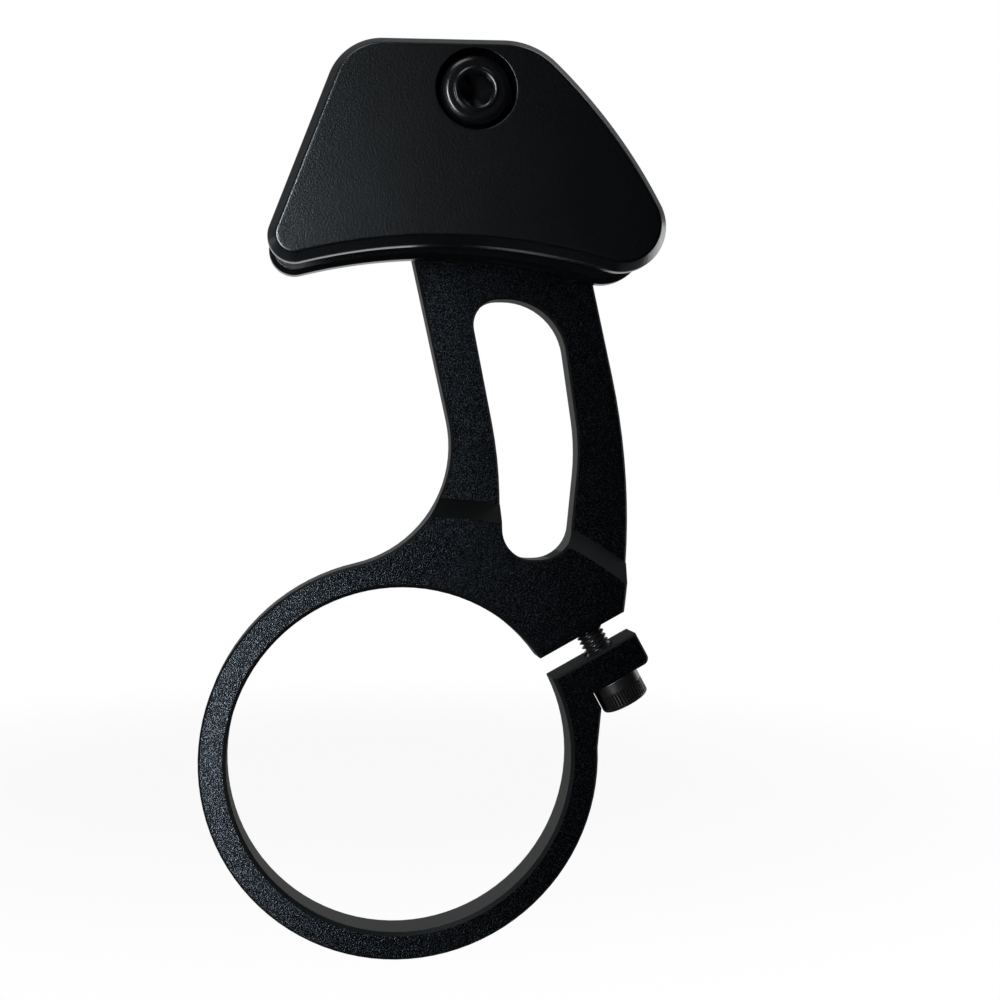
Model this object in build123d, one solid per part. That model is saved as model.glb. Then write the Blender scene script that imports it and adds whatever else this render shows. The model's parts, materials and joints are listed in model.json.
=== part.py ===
from build123d import *
import os
from math import atan, cos, degrees, hypot, radians, sin, sqrt

# Clamp-on upper chain guide for a bicycle with a single chainring.
# A split ring clamps round a collar beside the crank. An arm rises from the ring, and the
# moulded cage at its top straddles the upper run of the chain.
# Millimetres. X is right and Z is up as seen from outside the bicycle, and the bore lies along Y.
# The origin is on the bore's axis, halfway through the ring. A "height" is measured outboard, along -Y.

# Clamp ring
bore_diameter = 48.0
ring_wall = 3.8
ring_width = 7.0
bore_chamfer = 0.5
edge_break = 0.3

# Slit and pinch lugs. In the slit's own frame u runs out along the slit and v across it
slit_angle = 28.5
slit_low = -0.6
slit_high = 2.8
lug_thickness = 4.6
lug_end = 5.4
lug_corner_radius = 1.0
head_wall_gap = 0.4
head_wall_drop = 2.4
shoulder_run = (3.4, 5.0)

# Clamp screw, M4 socket head cap screw
clamp_thread = 4.0
clamp_length = 14.0
clamp_head_diameter = 7.0
clamp_head_height = 4.0
clamp_head_round = 0.4
clamp_socket = 3.0
clamp_socket_depth = 2.0
clamp_offset = 4.2

# Arm. In the arm's own frame p runs across the arm and q along it
arm_thickness = 4.7
arm_lean = 12.2
arm_left = 16.7
arm_width = 24.2
arm_root_radius = 17.0
flank_start = 46.0
tab_start = 71.0
tab_radius = 5.5

# The chainring's centre, which the relief on the arm and the underside of the cage are struck from
chain_centre = (5.5, -7.0)
relief_radius = 40.7
relief_slope = 2.6

# Lightening slot, by its corners clockwise from the top left
slot_corners = [(9.7, 64.2), (22.5, 64.5), (25.5, 43.5), (23.9, 27.7), (14.3, 27.7), (14.0, 42.0)]
slot_radii = [3.6, 8.6, 32.0, 5.0, 4.3, 60.0]

# Cage outline. Its underside lies on cage_radius, and a "rise" is measured up from the top of that circle
cage_radius = 76.5
cage_tail_x = -20.3
cage_nose_x = 39.0
cage_top_left_x = -8.2
cage_top_left_rise = 26.5
cage_top_right_x = 16.5
cage_top_right_rise = 26.8
nose_edge_radius = 70.0
cage_corner_radii = [7.5, 10.0, 6.1, 3.4]

# Cage section
inner_plate = 3.2
chain_channel = 10.5
outer_rim = 2.5
bevel_height = 1.9
bevel_inset = 1.1
rim_round = 0.35
lead_in = 0.7
back_break = 0.4
chain_room = 12.0
roof_inset = 0.9
roof_wall = 1.8
screw_boss = 10.0
lip_height = 1.5
lip_clearance = 0.15

# Pegs on the back of the cage that stop it turning on the arm
peg_xs = [5.5, 19.5]
peg_rise = 6.0
peg_diameter = 3.0
peg_height = 2.5
peg_clearance = 0.1
peg_end_clearance = 0.4

# Guide screw, M5 with a low round-edged socket head, in a recess in the outer plate
guide_screw_x = 8.85
guide_screw_rise = 19.9
guide_thread = 5.0
guide_length = 20.0
guide_head_diameter = 9.2
guide_head_height = 3.5
guide_head_round = 1.4
guide_socket = 4.0
guide_socket_depth = 2.2
recess_diameter = 10.5

# Fits shared by both screws
hole_clearance = 0.25
thread_clearance = 0.03
tapped_run_out = 0.7
thread_end_chamfer = 0.5

# Worked out from the sizes above
bore_radius = bore_diameter / 2
ring_radius = bore_radius + ring_wall
ring_front = ring_width / 2
ring_back = -ring_width / 2
arm_front = ring_back + arm_thickness
arm_right = arm_left + arm_width
clamp_u = ring_radius + clamp_offset
lug_reach = clamp_u + lug_end
seat_v = slit_low - lug_thickness
head_wall_u = clamp_u - clamp_head_diameter / 2 - head_wall_gap
inner_front = arm_front + inner_plate
outer_back = inner_front + chain_channel
rim_front = outer_back + outer_rim
outer_front = rim_front + bevel_height
screw_seat = outer_front - guide_head_height
cage_base = chain_centre[1] + cage_radius
cage_top_left = (cage_top_left_x, cage_base + cage_top_left_rise)
cage_top_right = (cage_top_right_x, cage_base + cage_top_right_rise)
cage_nose = (cage_nose_x, chain_centre[1] + sqrt(cage_radius**2 - (cage_nose_x - chain_centre[0]) ** 2))
cage_tail = (cage_tail_x, chain_centre[1] + sqrt(cage_radius**2 - (cage_tail_x - chain_centre[0]) ** 2))
guide_screw_place = (guide_screw_x, cage_base + guide_screw_rise)
peg_places = [(x, cage_base + peg_rise) for x in peg_xs]
beyond = 2 * hypot(*cage_top_right)


def turned(angle, a, b):
    """A point given in a frame turned about the bore, as X and Z."""
    c, s = cos(radians(angle)), sin(radians(angle))
    return (a * c - b * s, a * s + b * c)


def slit_point(u, v):
    return turned(slit_angle, u, v)


def arm_point(p, q):
    return turned(arm_lean, p, q)


def layer(sketch, low, high):
    """A drawing in X and Z made solid between two heights."""
    return extrude(Plane.XZ.offset(low) * sketch, amount=high - low)


def disc_layer(place, diameter, low, high):
    return layer(Pos(*place) * Circle(diameter / 2), low, high)


def polygon(*points):
    return make_face(Polyline(*points, close=True))


def corner_near(sketch, point):
    return sketch.vertices().sort_by_distance(Vector(*point))[0]


def arm_sketch():
    """The arm from the bore's centre up to the round tab that carries the cage."""
    lug_corner = slit_point(lug_reach, slit_high)
    flank = arm_point(arm_right, flank_start)
    right_shoulder = arm_point(arm_right, tab_start)
    left_shoulder = arm_point(arm_left, tab_start)
    root = arm_point(arm_left, 0)
    outline = [
        Line((0, 0), lug_corner),
        TangentArc(flank, lug_corner, tangent=Vector(*arm_point(0, -1))),
        Line(flank, right_shoulder),
        Line(right_shoulder, left_shoulder),
        Line(left_shoulder, root),
        Line(root, (0, 0)),
    ]
    tab_edges = (Pos(*guide_screw_place) * Circle(tab_radius)).edges()
    tab = make_hull(tab_edges + [Line(left_shoulder, right_shoulder)])
    return make_face(Curve() + outline) + tab


def lug_sketch():
    """The lower pinch lug, with the ring thickened beside the screw head down to a sloping shoulder."""
    lug = polygon((0, slit_low), (lug_reach, slit_low), (lug_reach, seat_v), (0, seat_v))
    lug = fillet(corner_near(lug, (lug_reach, seat_v)), lug_corner_radius)
    wall_foot = seat_v - head_wall_drop
    slope_u, slope_v = head_wall_u - shoulder_run[0], wall_foot - shoulder_run[1]
    wall_top, wall_end = (head_wall_u, slit_low), (head_wall_u, wall_foot)
    shoulder = polygon((0, slit_low), wall_top, wall_end, (slope_u, slope_v), (0, 0))
    return Rot(0, 0, slit_angle) * (lug + shoulder)


def bracket_sketch():
    ring = Circle(ring_radius)
    outline = ring + arm_sketch()
    root_corner = arm_point(arm_left, sqrt(ring_radius**2 - arm_left**2))
    outline = fillet(corner_near(outline, root_corner), arm_root_radius)
    outline += lug_sketch()
    slot = make_face(FilletPolyline(*slot_corners, radius=slot_radii, close=True))
    slit = polygon((0, slit_low), (beyond, slit_low), (beyond, slit_high), (0, slit_high))
    return outline - Circle(bore_radius) - slot - Rot(0, 0, slit_angle) * slit


def clamp_axis_plane(v):
    """A plane square to the clamp screw, at distance v across the slit, facing the screw's head."""
    x, z = slit_point(clamp_u, v)
    down = slit_point(0, -1)
    return Plane(origin=(x, 0, z), x_dir=(0, 1, 0), z_dir=(down[0], 0, down[1]))


def clamp_bore(diameter, v_from, v_to):
    return extrude(clamp_axis_plane(v_from) * Circle(diameter / 2), amount=v_from - v_to)


def bore_rims(solid):
    arcs = solid.edges().filter_by(GeomType.CIRCLE)
    return arcs.filter_by(lambda arc: abs(arc.radius - bore_radius) < 1e-3)


def broken_layer(sketch, low, high):
    """A layer with its sharp rims broken, and the bore's rims chamfered for the collar."""
    solid = layer(sketch, low, high)
    levels = solid.edges().group_by(Axis.Y)
    rims = levels[0] + levels[-1]
    solid = chamfer(rims - bore_rims(solid), edge_break)
    return chamfer(bore_rims(solid), bore_chamfer)


def clamp_arm():
    flat = bracket_sketch()
    relief = Pos(*chain_centre) * Circle(relief_radius + relief_slope)
    step = ring_front - arm_front
    column = layer(relief, ring_back, arm_front)
    column += extrude(Plane.XZ.offset(arm_front) * relief, amount=step, taper=degrees(atan(relief_slope / step)))
    body = broken_layer(flat, ring_back, arm_front) - column + (broken_layer(flat, ring_back, ring_front) & column)

    body -= clamp_bore(clamp_thread + 2 * hole_clearance, slit_high, seat_v - lug_thickness)
    tapped_end = seat_v + clamp_length + tapped_run_out
    body -= clamp_bore(clamp_thread + 2 * thread_clearance, tapped_end, slit_low)
    body -= disc_layer(guide_screw_place, guide_thread + 2 * thread_clearance, ring_back, ring_front)
    for place in peg_places:
        depth = peg_height + peg_end_clearance
        body -= disc_layer(place, peg_diameter + 2 * peg_clearance, arm_front - depth, arm_front)
    return body


def cap_screw(thread, length, head, head_height, head_round, socket, socket_depth):
    """A socket head cap screw along Z, its seat at zero and its head above."""
    shank = extrude(Circle(thread / 2), amount=-length)
    shank = chamfer(shank.edges().group_by(Axis.Z)[0], thread_end_chamfer)
    cap = extrude(Circle(head / 2), amount=head_height)
    cap = fillet(cap.edges().group_by(Axis.Z)[-1], head_round)
    hexagon = RegularPolygon(socket / 2, 6, major_radius=False)
    socket_floor = head_height - socket_depth
    corner = socket / sqrt(3)
    cap -= extrude(Plane.XY.offset(socket_floor) * hexagon, amount=socket_depth)
    cap -= Pos(0, 0, head_height - corner / 8) * Cone(corner, corner * 1.25, corner / 4)
    cap -= Pos(0, 0, socket_floor - socket / 8) * Cone(socket / 8, socket / 2, socket / 4)
    return cap + shank


def clamp_screw():
    screw = cap_screw(
        clamp_thread,
        clamp_length,
        clamp_head_diameter,
        clamp_head_height,
        clamp_head_round,
        clamp_socket,
        clamp_socket_depth,
    )
    return clamp_axis_plane(seat_v) * screw


def guide_screw():
    screw = cap_screw(
        guide_thread,
        guide_length,
        guide_head_diameter,
        guide_head_height,
        guide_head_round,
        guide_socket,
        guide_socket_depth,
    )
    return Plane.XZ.offset(screw_seat) * Pos(*guide_screw_place) * screw


def cage_sketch():
    """The cage from the front: flat top, slanting tail, long round nose, underside on the chain's circle."""
    corners = [cage_top_left, cage_top_right, cage_nose, cage_tail]
    outline = [
        Line(cage_top_left, cage_top_right),
        RadiusArc(cage_top_right, cage_nose, nose_edge_radius),
        RadiusArc(cage_nose, cage_tail, -cage_radius),
        Line(cage_tail, cage_top_left),
    ]
    face = make_face(Curve() + outline)
    for corner, radius in zip(corners, cage_corner_radii):
        face = fillet(corner_near(face, corner), radius)
    return face


def roof_sketch(inset):
    """The part of the cage above the chain's room, drawn in from its edges."""
    above = Pos(*chain_centre) * Circle(cage_radius + chain_room)
    return offset(cage_sketch() - above, amount=-inset)


def core_sketch(inset):
    """The two hollows in the roof, one each side of the screw's boss."""
    x, z = guide_screw_place
    boss = Pos(x, z) * Rectangle(screw_boss, beyond)
    return roof_sketch(roof_inset + roof_wall + inset) - boss


def inner_guide():
    plate = layer(cage_sketch(), arm_front, inner_front)
    plate = chamfer(plate.edges().group_by(Axis.Y)[0], lead_in)
    plate = chamfer(plate.edges().group_by(Axis.Y)[-1], back_break)
    guide = plate + layer(roof_sketch(roof_inset), inner_front, outer_back)
    guide -= layer(core_sketch(0), inner_front, outer_back)
    for place in peg_places:
        guide += disc_layer(place, peg_diameter, arm_front - peg_height, arm_front)
    return guide - disc_layer(guide_screw_place, guide_thread + 2 * hole_clearance, arm_front, outer_back)


def outer_guide():
    rim = layer(cage_sketch(), outer_back, rim_front)
    rim = chamfer(rim.edges().group_by(Axis.Y)[-1], lead_in)
    slope = degrees(atan(bevel_inset / bevel_height))
    plate = rim + extrude(Plane.XZ.offset(rim_front) * cage_sketch(), amount=bevel_height, taper=slope)
    plate = fillet(plate.edges().group_by(Axis.Y)[0], rim_round)
    plate += layer(core_sketch(lip_clearance), outer_back - lip_height, outer_back)
    plate -= disc_layer(guide_screw_place, recess_diameter, screw_seat, outer_front)
    return plate - disc_layer(guide_screw_place, guide_thread + 2 * hole_clearance, outer_back, screw_seat)


if __name__ == "__main__":
    os.makedirs("parts", exist_ok=True)
    export_step(clamp_arm(), "parts/clamp_arm.step")
    export_step(clamp_screw(), "parts/clamp_screw.step")
    export_step(inner_guide(), "parts/inner_guide.step")
    export_step(outer_guide(), "parts/outer_guide.step")
    export_step(guide_screw(), "parts/guide_screw.step")
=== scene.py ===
import json

import bpy
import numpy as np
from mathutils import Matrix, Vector

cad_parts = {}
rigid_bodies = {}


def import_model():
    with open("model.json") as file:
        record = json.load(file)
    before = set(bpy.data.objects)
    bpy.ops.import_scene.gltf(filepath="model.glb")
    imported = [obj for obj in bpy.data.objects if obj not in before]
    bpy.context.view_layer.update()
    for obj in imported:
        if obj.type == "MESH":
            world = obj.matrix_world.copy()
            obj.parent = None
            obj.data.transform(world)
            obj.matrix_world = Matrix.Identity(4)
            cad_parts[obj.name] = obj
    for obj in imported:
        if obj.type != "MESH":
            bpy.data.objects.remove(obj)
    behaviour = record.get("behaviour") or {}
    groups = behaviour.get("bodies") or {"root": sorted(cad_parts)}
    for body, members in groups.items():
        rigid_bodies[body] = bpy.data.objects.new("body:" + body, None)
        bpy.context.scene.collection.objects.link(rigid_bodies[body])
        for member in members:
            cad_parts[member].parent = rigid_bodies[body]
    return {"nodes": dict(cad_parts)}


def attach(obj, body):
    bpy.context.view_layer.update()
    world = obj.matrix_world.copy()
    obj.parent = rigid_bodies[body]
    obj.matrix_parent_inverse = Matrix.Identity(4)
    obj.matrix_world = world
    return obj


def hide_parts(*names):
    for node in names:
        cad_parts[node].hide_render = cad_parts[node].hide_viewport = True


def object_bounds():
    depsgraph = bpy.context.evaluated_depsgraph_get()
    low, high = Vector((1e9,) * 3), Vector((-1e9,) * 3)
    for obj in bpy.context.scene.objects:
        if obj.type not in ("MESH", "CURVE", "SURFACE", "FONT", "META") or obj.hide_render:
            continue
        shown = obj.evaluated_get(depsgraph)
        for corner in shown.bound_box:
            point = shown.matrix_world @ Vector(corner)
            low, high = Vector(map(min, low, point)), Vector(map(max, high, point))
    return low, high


for stray in list(bpy.data.objects):
    bpy.data.objects.remove(stray)

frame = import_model()
solid_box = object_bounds()


# Clamp ring and arm
# One piece cut from aluminium plate, bead-blasted on its faces and anodised black, so that they
# sparkle. Its walls are smooth, and a slit sawn through the ring lets it grip a collar.

class Tone:
    """A value in a material's node tree. Arithmetic on tones adds the Math nodes for it."""

    MIX_LOW, MIX_HIGH, MIX_COLOUR = 6, 7, 2  # the places of a Mix node's colour sockets

    def __init__(self, tree, socket=None):
        self.tree = tree
        self.socket = socket

    def node(self, kind, inputs, output=0, **settings):
        """Adds any node: settings first, then each input's value or link, by name or by place."""
        made = self.tree.nodes.new(kind)
        for name, value in settings.items():
            setattr(made, name, value)
        for name, value in inputs.items():
            if isinstance(value, Tone):
                self.tree.links.new(value.socket, made.inputs[name])
            else:
                made.inputs[name].default_value = value
        return Tone(self.tree, made.outputs[output])

    def maths(self, operation, *values):
        return self.node("ShaderNodeMath", dict(enumerate(values)), operation=operation)

    def __add__(self, other):
        return self.maths("ADD", self, other)

    def __radd__(self, other):
        return self.maths("ADD", other, self)

    def __sub__(self, other):
        return self.maths("SUBTRACT", self, other)

    def __rsub__(self, other):
        return self.maths("SUBTRACT", other, self)

    def __mul__(self, other):
        return self.maths("MULTIPLY", self, other)

    def __rmul__(self, other):
        return self.maths("MULTIPLY", other, self)

    def __abs__(self):
        return self.maths("ABSOLUTE", self)

    def coordinate(self, kind):
        """A coordinate of the point that is shaded, such as its Object place or its Normal."""
        return self.node("ShaderNodeTexCoord", {}, output=kind)

    def along(self, axis):
        """This vector's X, Y or Z."""
        return self.node("ShaderNodeSeparateXYZ", {0: self}, output=axis)

    def between(self, low, high):
        """Zero up to low, one from high on, and a smooth rise from one to the other."""
        limits = {"Value": self, "From Min": low, "From Max": high}
        return self.node("ShaderNodeMapRange", limits, interpolation_type="SMOOTHSTEP")

    def colours(self, low, high):
        """The colour low where this tone is zero and high where it is one, each RGB or a tone."""
        low, high = (end if isinstance(end, Tone) else (*end, 1.0) for end in (low, high))
        ends = {"Factor": self, self.MIX_LOW: low, self.MIX_HIGH: high}
        return self.node("ShaderNodeMix", ends, output=self.MIX_COLOUR, data_type="RGBA")


def finish(name, constants, paint):
    """A material: constants go on the shader's own sockets, and paint gives those that vary."""
    material = bpy.data.materials.new(name)
    material.use_nodes = True
    tree = material.node_tree
    shader = tree.nodes["Principled BSDF"]
    for socket, value in constants.items():
        shader.inputs[socket].default_value = value
    for socket, tone in paint(Tone(tree)).items():
        tree.links.new(tone.socket, shader.inputs[socket])
    return material


def speckle(tone, grain):
    """Noise on the piece's own coordinates, with the given grain in metres.
    They are turned first, so that no flat face lies along the noise's own grid."""
    place = tone.coordinate("Object")
    turned = tone.node("ShaderNodeMapping", {"Vector": place, "Rotation": (0.6, 0.4, 0.8)})
    pattern = {"Vector": turned, "Scale": 1.0 / grain, "Detail": 2.0, "Roughness": 0.6}
    return tone.node("ShaderNodeTexNoise", pattern)


def bumps(height, depth):
    """The surface's normal where a tone raises it, by depth in metres where the tone is one."""
    return height.node("ShaderNodeBump", {"Height": height, "Strength": 1.0, "Distance": depth})


def facing(tone):
    """How squarely the surface faces along the bore, from zero on a wall to one on a face."""
    return abs(tone.coordinate("Normal").along("Y"))


slit_angle = np.radians(28.5)
along_slit = np.array([np.cos(slit_angle), 0.0, np.sin(slit_angle)])
below_slit = np.array([np.sin(slit_angle), 0.0, -np.cos(slit_angle)])


def sawn_and_shaded(tone):
    """One on the faces of the slit, which lie square to below_slit, 20 mm or more to the right."""
    # where this is one, the slit's faces are made rougher and are painted darker as shade
    pair = {0: tone.coordinate("Normal"), 1: below_slit}
    square = tone.node("ShaderNodeVectorMath", pair, output="Value", operation="DOT_PRODUCT")
    right = tone.coordinate("Object").along("X")
    return abs(square).between(0.97, 0.995) * right.between(0.0195, 0.0205)


grit_size, arm_cloud_size, grit_depth = 0.00017, 0.016, 0.00005
blasted_black, blasted_glint = (0.0038, 0.0047, 0.0058), (0.0620, 0.0740, 0.0885)
# the walls' grey, and a near black that is painted shade on the slopes of the relief and in the
# slit
wall_black, painted_shade_black = (0.0160, 0.0160, 0.0156), (0.0010, 0.0010, 0.0010)
cool_gloss = (0.84, 0.94, 1.0, 1.0)


def paint_anodised(tone):
    """Faces square to the bore are blasted metal with glints, and the rest is plain, except that
    the slopes and the slit's faces are painted near black as shade.
    Roughness is 0.62 on walls, 0.46 on slopes, 0.86 in the slit and from 0.275 up on blasted faces,
    because a finish a little smoother than that leaves faint spots once the render is denoised."""
    front = facing(tone)
    slit = sawn_and_shaded(tone)
    flat, blasted = front.between(0.2, 0.7), front.between(0.93, 0.985)
    grit, cloud = speckle(tone, grit_size), speckle(tone, arm_cloud_size)
    # painted shade: the slopes and the slit's faces are coloured near black, and the walls grey
    wall = (flat + slit).colours(wall_black, painted_shade_black)
    face = (grit.between(0.45, 0.70) * blasted).colours(blasted_black, blasted_glint)
    return {
        "Base Color": blasted.colours(wall, face),
        "Metallic": blasted,
        "Roughness": 0.62 - flat * 0.16 - blasted * 0.185 + slit * 0.24 + cloud * 0.02,
        "Normal": bumps(grit * blasted, grit_depth),
    }


anodised = finish(
    "black_anodised", {"Specular IOR Level": 0.22, "Specular Tint": cool_gloss}, paint_anodised
)
clamp_arm = frame["nodes"]["clamp_arm"]
clamp_arm.data.materials[0] = anodised


# Clamp screw
# A black steel cap screw with a rolled thread and a head that is knurled round its outer half.
# It passes the lower lug freely and threads into the upper one, which draws the slit together.
mm = 0.001  # the pieces from here on are worked out in millimetres
crease = np.radians(38)  # edges that turn more than this stay sharp


def unit(vectors):
    """The vectors, each divided by its own length."""
    return vectors / np.linalg.norm(vectors, axis=-1, keepdims=True)


def eased(corners, radii, steps=6):
    """A path through the corners, where an arc that touches both runs rounds each inner corner.
    Each arc turns evenly from its first touching point to its second about its centre."""
    corners = np.asarray(corners, float)
    share = np.linspace(0.0, 1.0, steps + 1)[:, None]
    runs = [corners[:1]]
    for before, corner, after, radius in zip(corners, corners[1:], corners[2:], radii):
        back, on = unit(before - corner), unit(after - corner)
        half = np.arccos(np.clip(back @ on, -1.0, 1.0)) / 2
        centre = corner + unit(back + on) * radius / np.sin(half)
        first = corner + back * radius / np.tan(half) - centre
        last = corner + on * radius / np.tan(half) - centre
        turn = np.pi - 2 * half
        swept = np.sin((1 - share) * turn) * first + np.sin(share * turn) * last
        runs.append(centre + swept / np.sin(turn))
    return np.vstack(runs + [corners[-1:]])


def divided(path, gap):
    """The path with points added along its straight runs, so that none is longer than gap."""
    runs = []
    for start, end in zip(path, path[1:]):
        count = max(1, int(np.ceil(np.linalg.norm(end - start) / gap)))
        runs.append(start + (end - start) * np.arange(count)[:, None] / count)
    return np.vstack(runs + [path[-1:]])


def skin(name, rings, material, node, joined):
    """A closed piece from rings of points: each ring closes on itself and is joined to the next.
    The last ring joins the first where joined is true, and otherwise a flat face closes each end.
    All faces are turned round where the volume that they enclose comes out negative."""
    count, columns, _ = rings.shape
    row = np.arange(count if joined else count - 1)[:, None]
    here = np.arange(columns)[None, :]
    ahead, following = (here + 1) % columns, (row + 1) % count
    corners = [
        row * columns + here,
        row * columns + ahead,
        following * columns + ahead,
        following * columns + here,
    ]
    quads = np.stack(corners, -1).reshape(-1, 4)
    if joined:
        ends = np.empty((0, columns), int)
    else:
        ends = np.stack([here[0, ::-1], (count - 1) * columns + here[0]])
    points = rings.reshape(-1, 3)
    a, b, c, d = points[quads].swapaxes(0, 1)
    volume = np.sum(a * (np.cross(b, c) + np.cross(c, d)))
    way = 1 if volume > 0 else -1
    faces = quads[:, ::way].tolist() + ends[:, ::way].tolist()

    mesh = bpy.data.meshes.new(name)
    mesh.from_pydata((points * mm).tolist(), [], faces)
    mesh.shade_smooth()
    mesh.set_sharp_from_angle(angle=crease)
    mesh.materials.append(material)
    piece = bpy.data.objects.new(name, mesh)
    bpy.context.scene.collection.objects.link(piece)
    even = piece.modifiers.new("even_faces", "WEIGHTED_NORMAL")
    even.keep_sharp = True
    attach(piece, "root")
    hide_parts(node)


def socket_rings(socket, floor, top, turn, angle):
    """Radii and heights of a hexagon socket, from the drilled cone in its floor to the round rim.
    A hexagon's radius at an angle is half its width over the cosine from the nearest flat."""
    level = np.ones_like(angle)
    hexagon = socket / 2 / np.cos((angle + turn + np.pi / 6) % (np.pi / 3) - np.pi / 6)
    corner = socket / np.sqrt(3)
    bowl = [
        (0.05 * socket * level, floor - 0.45 * socket),
        (0.28 * socket * level, floor - 0.24 * socket),
        (0.97 * hexagon, floor),
        (hexagon, floor + 0.06),
        (hexagon, top - 0.34),
        (np.maximum(hexagon, 0.97 * corner), top - 0.18),
        (1.05 * corner * level, top - 0.06),
        (1.12 * corner * level, top),
    ]
    radii, heights = zip(*bowl)
    return np.array(radii), np.array(heights)[:, None] * level


def knurled(head, knurl, ridges, angle):
    """Radii of the head with a wave of its ridges cut from it between the two heights of knurl."""
    depth, fade = 0.28, 0.15
    radius, height = head[:, :1], head[:, 1:]
    band = np.clip((height - knurl[0]) / fade, 0, 1) * np.clip((knurl[1] - height) / fade, 0, 1)
    groove = np.clip(0.35 + 0.9 * np.cos(ridges * angle), 0.0, 1.0)
    return radius - depth * band * groove


def threaded(thread, pitch, length, angle):
    """Radii of a thread and how far along it each ring lies, at eight rings to the pitch.
    A wave with flattened crests and roots climbs one pitch a turn, and a chamfer ends it."""
    along = np.arange(0.0, length + pitch / 16, pitch / 8)[:, None]
    wave = np.abs(2 * ((along / pitch + angle / (2 * np.pi)) % 1.0) - 1)
    depth = 0.61 * pitch  # the usual depth of a metric thread
    root = thread / 2 - depth
    radius = root + depth * np.clip(1.45 * wave - 0.2, 0.0, 1.0)
    chamfer = root - 0.1 + np.maximum(length - along, 0)
    return np.minimum(radius, chamfer), along


def cap_screw(
    head, socket, socket_depth, turn, thread, pitch, length, columns, ridges=0, knurl=(0.0, 0.0)
):
    """Rings of a socket head screw about its axis, from the socket's floor over the head's profile
    of radii and heights and down to the thread's end."""
    angle = np.linspace(0.0, 2 * np.pi, columns, endpoint=False)
    level = np.ones(columns)
    top = head[0, 1]
    bowl_radii, bowl_heights = socket_rings(socket, top - socket_depth, top, turn, angle)
    rod_radii, along = threaded(thread, pitch, length, angle)
    radii = np.vstack([bowl_radii, knurled(head, knurl, ridges, angle), rod_radii])
    heights = np.vstack([bowl_heights, head[:, 1:] * level, -along * level])
    return np.stack([radii * np.cos(angle), radii * np.sin(angle), heights], -1)


def stood(rings, seat, across, up):
    """The rings moved to the seat, with their own X along across and their own Z along up."""
    across, up = np.array(across), np.array(up)
    return np.array(seat) + rings @ np.stack([across, np.cross(up, across), up])


blotch_size, oxide_grain = 0.0007, 0.0004
oxide_black, oxide_grey = (0.0034, 0.0035, 0.0040), (0.0075, 0.0078, 0.0090)


def paint_oxide(tone):
    """Faint blotches of colour, and a finer grain in the roughness."""
    return {
        "Base Color": speckle(tone, blotch_size).colours(oxide_black, oxide_grey),
        "Roughness": 0.30 + speckle(tone, oxide_grain) * 0.12,
    }


black_oxide = finish("black_oxide", {"Specular IOR Level": 0.42}, paint_oxide)
clamp_seat = 32.0 * along_slit + 5.2 * below_slit
clamp_head = eased([(2.0, 4.0), (3.5, 4.0), (3.5, 0.0), (2.1, 0.0)], radii=[0.45, 0.12])
clamp_rings = cap_screw(
    divided(clamp_head, gap=0.14),
    socket=3.0,
    socket_depth=2.0,
    turn=0.2,
    thread=4.0,
    pitch=0.7,
    length=14.0,
    columns=288,
    ridges=48,
    knurl=(1.6, 3.7),
)
clamp_rings = stood(clamp_rings, clamp_seat, across=(0.0, 1.0, 0.0), up=below_slit)
skin("clamp_screw_detailed", clamp_rings, black_oxide, "clamp_screw", joined=False)


# Inner guide
# The inboard half of the cage, moulded in black plastic in one piece with the roof over the chain.
# It sits flat on the arm, and the chain runs in the open channel below its roof.
chain_centre = np.array([5.5, -7.0])
cage_radius = 76.5
cage_base = chain_centre[1] + cage_radius
screw_axis = np.array([8.85, cage_base + 19.9])
screw_hole = 2.75
roof_inset, chain_room = 0.9, 12.0
# Heights along -Y, which is outboard
arm_front, inner_front, outer_back, rim_front, outer_front = 1.2, 4.4, 14.9, 17.4, 19.3


class Straight:
    """A straight side from one point to another, with the piece on its right."""

    def __init__(self, start, end):
        self.start = np.array(start, float)
        run = unit(np.array(end, float) - self.start)
        self.inward = np.array([run[1], -run[0]])

    def depth(self, point):
        """How far inside the side a point lies."""
        return (point - self.start) @ self.inward

    def inwards(self, point):
        """The direction from a point straight away from the side, into the piece."""
        return self.inward

    def between(self, start, end, gap):
        """Points from start to end, and the outward direction at each."""
        count = max(2, int(np.linalg.norm(end - start) / gap))
        points = start + (end - start) * np.linspace(0.0, 1.0, count)[:, None]
        return points, np.broadcast_to(-self.inward, points.shape)


class Round:
    """A round side, which bulges where the piece lies inside its circle and else is hollow."""

    def __init__(self, centre, radius, bulges):
        self.centre, self.radius = np.array(centre, float), radius
        self.sign = 1.0 if bulges else -1.0

    def depth(self, point):
        """How far inside the side a point lies."""
        return self.sign * (self.radius - np.linalg.norm(point - self.centre))

    def inwards(self, point):
        """The direction from a point straight away from the side, into the piece."""
        return -self.sign * unit(point - self.centre)

    def between(self, start, end, gap):
        """Points along the circle from start to end, and the outward direction at each."""
        first, last = (np.arctan2(*(point - self.centre)[::-1]) for point in (start, end))
        turn = (last - first + np.pi) % (2 * np.pi) - np.pi
        count = max(2, int(abs(turn) * self.radius / gap))
        angle = first + turn * np.linspace(0.0, 1.0, count)
        ray = np.stack([np.cos(angle), np.sin(angle)], -1)
        return self.centre + self.radius * ray, self.sign * ray


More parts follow.
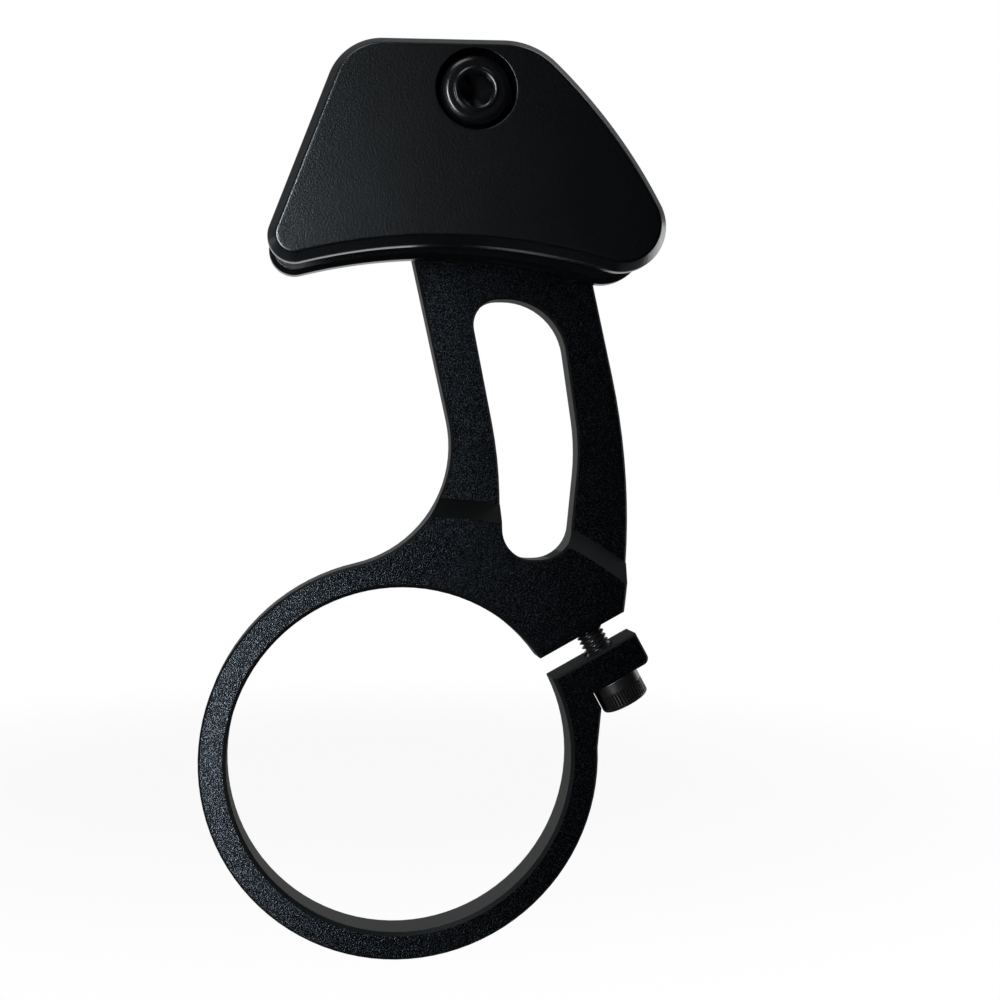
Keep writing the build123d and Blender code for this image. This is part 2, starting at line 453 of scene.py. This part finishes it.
def rounded_outline(sides, radii, guesses, gap, steps=30):
    """A closed outline of sides whose corners are arcs. An arc's centre lies one radius inside both
    its sides. It is found from a guess by steps, each of which would be right if both sides were
    straight. Gives the points and the outward direction at each."""
    bends, feet = [], []
    guesses = np.array(guesses, float)
    for before, after, radius, centre in zip(sides, sides[1:] + sides[:1], radii, guesses):
        for _ in range(steps):
            slopes = np.stack([before.inwards(centre), after.inwards(centre)])
            miss = [before.depth(centre) - radius, after.depth(centre) - radius]
            centre = centre - np.linalg.solve(slopes, miss)
        bends.append(Round(centre, radius, bulges=True))
        feet.append(
            (centre - radius * before.inwards(centre), centre - radius * after.inwards(centre))
        )
    points, normals = [], []
    for i, side in enumerate(sides):
        run = side.between(feet[i - 1][1], feet[i][0], gap)
        bend = bends[i].between(*feet[i], gap / 3)
        for run_points, run_normals in (run, bend):
            points.append(run_points[:-1])
            normals.append(run_normals[:-1])
    return np.vstack(points), np.vstack(normals)


def on_underside(x):
    """The point at x on the cage's underside, a circle about the chainring's centre."""
    return x, chain_centre[1] + np.sqrt(cage_radius**2 - (x - chain_centre[0]) ** 2)


def circle_centre(start, end, radius):
    """The centre of a circle through two points, on the right of the way from one to the other."""
    start, end = np.array(start), np.array(end)
    half = (end - start) / 2
    right = unit(np.array([half[1], -half[0]]))
    return start + half + right * np.sqrt(radius**2 - half @ half)


top_left, top_right = (-8.2, cage_base + 26.5), (16.5, cage_base + 26.8)
nose, tail = on_underside(39.0), on_underside(-20.3)
nose_radius = 70.0
cage_sides = [
    Straight(top_left, top_right),
    Round(circle_centre(top_right, nose, nose_radius), nose_radius, bulges=True),
    Round(chain_centre, cage_radius, bulges=False),
    Straight(tail, top_left),
]
corner_radii = [10.0, 6.1, 3.4, 7.5]
near_corners = [(14.0, 86.0), (27.0, 73.0), (-14.0, 70.0), (-5.0, 88.0)]
cage_edge, cage_out = rounded_outline(cage_sides, corner_radii, near_corners, gap=0.6)
from_screw = unit(cage_edge - screw_axis)


def raised(flat, heights):
    """Rings drawn in X and Z set at their heights, which count outboard along -Y."""
    across, up = flat[..., 0], flat[..., 1]
    outboard = np.broadcast_to(-np.reshape(heights, (-1, 1)), across.shape)
    return np.stack([across, outboard, up], -1)


def edge_rings(profile):
    """The cage's outline carried through a profile of insets and heights, a ring for each pair."""
    profile = np.asarray(profile)
    return raised(cage_edge - profile[:, :1, None] * cage_out, profile[:, 1])


def hole_rings(profile):
    """Circles about the guide screw's axis for a profile of radii and heights.
    Their points lie on the rays from the axis to the outline's own points."""
    profile = np.asarray(profile)
    return raised(screw_axis + profile[:, :1, None] * from_screw, profile[:, 1])


def roof_edge(inset, room):
    """The roof's outline: the cage's, drawn in, or the circle over the chain where a ray from the
    screw meets that first. The share of the ray is the smaller root of the equation that sets its
    squared distance from the circle's centre to the squared radius."""
    reach = cage_edge - inset * cage_out - screw_axis
    offset = screw_axis - chain_centre
    a, b = np.sum(reach * reach, -1), reach @ offset
    c = offset @ offset - (cage_radius + room + inset) ** 2
    met = (b < 0) & (b * b > a * c)
    share = np.where(met, (-b - np.sqrt(np.maximum(b * b - a * c, 0.0))) / a, 1.0)
    return screw_axis + reach * np.clip(share, 0.0, 1.0)[:, None]


plate_profile = eased(
    [
        (2.0, arm_front),
        (0.4, arm_front),
        (0.0, arm_front + 0.4),
        (0.0, inner_front - 0.7),
        (0.7, inner_front),
        (0.8, inner_front),
    ],
    radii=[0.2, 0.2, 0.4, 0.05],
)
roof = roof_edge(roof_inset, chain_room)
inner_rings = np.concatenate([
    edge_rings(plate_profile),
    raised(np.stack([roof, roof]), [inner_front, outer_back]),
    hole_rings([(screw_hole, outer_back), (screw_hole, arm_front)]),
])

grain_size, plate_cloud_size, grain_depth = 0.00026, 0.007, 0.00003
plastic_black, plastic_grey = (0.0008, 0.0009, 0.0013), (0.0014, 0.0016, 0.0022)


def paint_moulded(tone):
    """A fine grain from the mould, with a roughness from 0.275 up, as on the blasted faces."""
    cloud = speckle(tone, plate_cloud_size)
    return {
        "Base Color": cloud.colours(plastic_black, plastic_grey),
        "Roughness": 0.275 + cloud * 0.02,
        "Normal": bumps(speckle(tone, grain_size), grain_depth),
    }


moulded = finish(
    "moulded_black", {"Specular IOR Level": 0.60, "Specular Tint": cool_gloss}, paint_moulded
)
skin("inner_guide_moulded", inner_rings, moulded, "inner_guide", joined=True)


# Outer guide
# The outboard half of the cage, a moulded plate with a bevelled rim and a round recess for the
# screw's head. It lies on the roof of the inner half, and the guide screw clamps both to the arm.
screw_seat, recess_radius = 15.8, 5.25
recess_profile = eased(
    [
        (screw_hole, screw_seat),
        (recess_radius, screw_seat),
        (recess_radius, outer_front),
        (7.0, outer_front),
    ],
    radii=[0.3, 0.12],
)
rim_profile = eased(
    [
        (2.0, outer_front),
        (1.1, outer_front),
        (0.0, rim_front),
        (0.0, outer_back + 0.7),
        (0.7, outer_back),
        (2.0, outer_back),
    ],
    radii=[0.45, 0.9, 0.3, 0.3],
)
recess_rings, rim_rings = hole_rings(recess_profile[:-1]), edge_rings(rim_profile)
face_shares = np.array([0.02, 0.3, 0.6, 0.98])[:, None, None]
face_rings = recess_rings[-1] + (rim_rings[1] - recess_rings[-1]) * face_shares
outer_rings = np.concatenate(
    [recess_rings, face_rings, rim_rings[1:], hole_rings([(screw_hole, outer_back)])]
)
skin("outer_guide_moulded", outer_rings, moulded, "outer_guide", joined=True)


# Guide screw
# A steel screw with a low, round-edged socket head, plated black and sunk in the outer plate.
# It passes both halves of the cage freely and threads into the arm's tab.
plated_grain = 0.0005
plated_black, plated_grey = (0.0016, 0.0018, 0.0023), (0.0036, 0.0040, 0.0050)


def paint_plated(tone):
    """Blotches as on the clamp screw, in a blacker and smoother finish."""
    return {
        "Base Color": speckle(tone, blotch_size).colours(plated_black, plated_grey),
        "Roughness": 0.18 + speckle(tone, plated_grain) * 0.12,
    }


black_plated = finish("black_plated", {"Specular IOR Level": 0.45}, paint_plated)
guide_seat = (screw_axis[0], -screw_seat, screw_axis[1])
guide_head = eased(
    [
        (2.65, 3.5),
        (2.75, 3.5),
        (2.95, 3.36),
        (3.75, 3.36),
        (4.45, 2.95),
        (4.6, 2.2),
        (4.6, 0.0),
        (2.6, 0.0),
    ],
    radii=[0.15, 0.15, 0.8, 0.7, 0.7, 0.12],
)
guide_rings = cap_screw(
    guide_head,
    socket=4.0,
    socket_depth=2.2,
    turn=0.35,
    thread=5.0,
    pitch=0.8,
    length=20.0,
    columns=144,
)
guide_rings = stood(guide_rings, guide_seat, across=(1.0, 0.0, 0.0), up=(0.0, -1.0, 0.0))
skin("guide_screw_detailed", guide_rings, black_plated, "guide_screw", joined=False)


# Studio
# A white floor under the ring that fades into a white surround. Light comes from a soft window on
# the left, and from above and behind. The room on the camera's side is dim.
floor_reach, floor_height = 1.5, solid_box[0][2]
floor_corners = [
    (x * floor_reach, y * floor_reach, floor_height)
    for x, y in ((-1, -1), (1, -1), (1, 1), (-1, 1))
]
floor_mesh = bpy.data.meshes.new("floor")
floor_mesh.from_pydata(floor_corners, [], [(0, 1, 2, 3)])
floor = bpy.data.objects.new("floor", floor_mesh)
bpy.context.scene.collection.objects.link(floor)


def paint_floor(tone):
    """Solid round a point behind the ring, and fading to nothing away from it."""
    ends = {0: tone.coordinate("Object"), 1: (0.0, 0.14, 0.0)}
    away = tone.node("ShaderNodeVectorMath", ends, output="Value", operation="DISTANCE")
    return {"Alpha": 1.0 - away.between(0.05, 0.19)}


def shows_white(tone, behind):
    """One for rays from the camera or through glass, and for gloss where behind is one. Gloss sees
    only the white behind the object, so that the faces towards the camera stay black."""
    camera, glass, gloss = (
        tone.node("ShaderNodeLightPath", {}, output=f"Is {kind} Ray")
        for kind in ("Camera", "Transmission", "Glossy")
    )
    return camera + glass + gloss * behind


white = (1.0, 1.0, 1.0, 1.0)
floor_glow, back_glow = 0.93, 0.24  # the rest of the floor is lit paint, which keeps the shadow
floor_paint = {"Base Color": (0.3, 0.3, 0.3, 1.0), "Roughness": 0.9}
white_floor = finish("white_floor", floor_paint, paint_floor)
floor_tree = white_floor.node_tree
ground = Tone(floor_tree)
far = ground.coordinate("Object").along("Y").between(0.12, 0.30)
glow = ground.node("ShaderNodeEmission", {"Color": white, "Strength": 1.0})
lit = Tone(floor_tree, floor_tree.nodes["Principled BSDF"].outputs[0])
whiteness = shows_white(ground, far) * floor_glow
surface = ground.node("ShaderNodeMixShader", {0: whiteness, 1: lit, 2: glow})
floor_tree.links.new(surface.socket, floor_tree.nodes["Material Output"].inputs["Surface"])
floor_mesh.materials.append(white_floor)

world = bpy.data.worlds.new("studio")
bpy.context.scene.world = world
world.use_nodes = True
surround = world.node_tree.nodes["Background"]
sky = Tone(world.node_tree)
back = sky.coordinate("Generated").along("Y")
seen_white = shows_white(sky, back.between(0.70, 0.95))
strength = sky.maths("MAXIMUM", seen_white, back.between(0.0, 0.6) * back_glow)
world.node_tree.links.new(strength.socket, surround.inputs["Strength"])
surround.inputs["Color"].default_value = white


def softbox(name, place, aim, size, power, spread=180):
    """A flat light at place, turned to face aim, whose beam opens to the spread in degrees."""
    data = bpy.data.lights.new(name, "AREA")
    data.shape = "RECTANGLE"
    data.size, data.size_y = size
    data.energy = power
    data.spread = np.radians(spread)
    lamp = bpy.data.objects.new(name, data)
    bpy.context.scene.collection.objects.link(lamp)
    lamp.location = place
    lamp.rotation_euler = (Vector(aim) - Vector(place)).to_track_quat("-Z", "Y").to_euler()
    lamp.visible_camera = False


softbox(
    "window", (-0.11, -0.20, 0.03), (-0.05, 0.0, 0.02), size=(0.05, 0.24), power=0.265, spread=70
)
softbox("top", (0.22, 0.06, 0.42), (0.0, 0.0, 0.02), size=(0.25, 0.25), power=0.45)
softbox("back", (0.25, 0.16, 0.02), (0.0, 0.0, 0.04), size=(0.12, 0.20), power=0.2)
softbox("sky", (-0.10, -0.10, 0.34), (0.0, 0.0, 0.05), size=(0.20, 0.10), power=0.25)

downward, rightward = 0.01491, 0.12485  # the camera's turn from straight along Y, in radians
view = bpy.data.cameras.new("camera")
view.lens = 58.4
view.sensor_width = 36.0
view.clip_start = 0.01
eye = bpy.data.objects.new("camera", view)
bpy.context.scene.collection.objects.link(eye)
eye.location = (-0.01431, -0.22788, 0.03949)
eye.rotation_euler = (np.pi / 2 - downward, 0.0, -rightward)
bpy.context.scene.camera = eye
bpy.context.scene.view_settings.view_transform = "Standard"
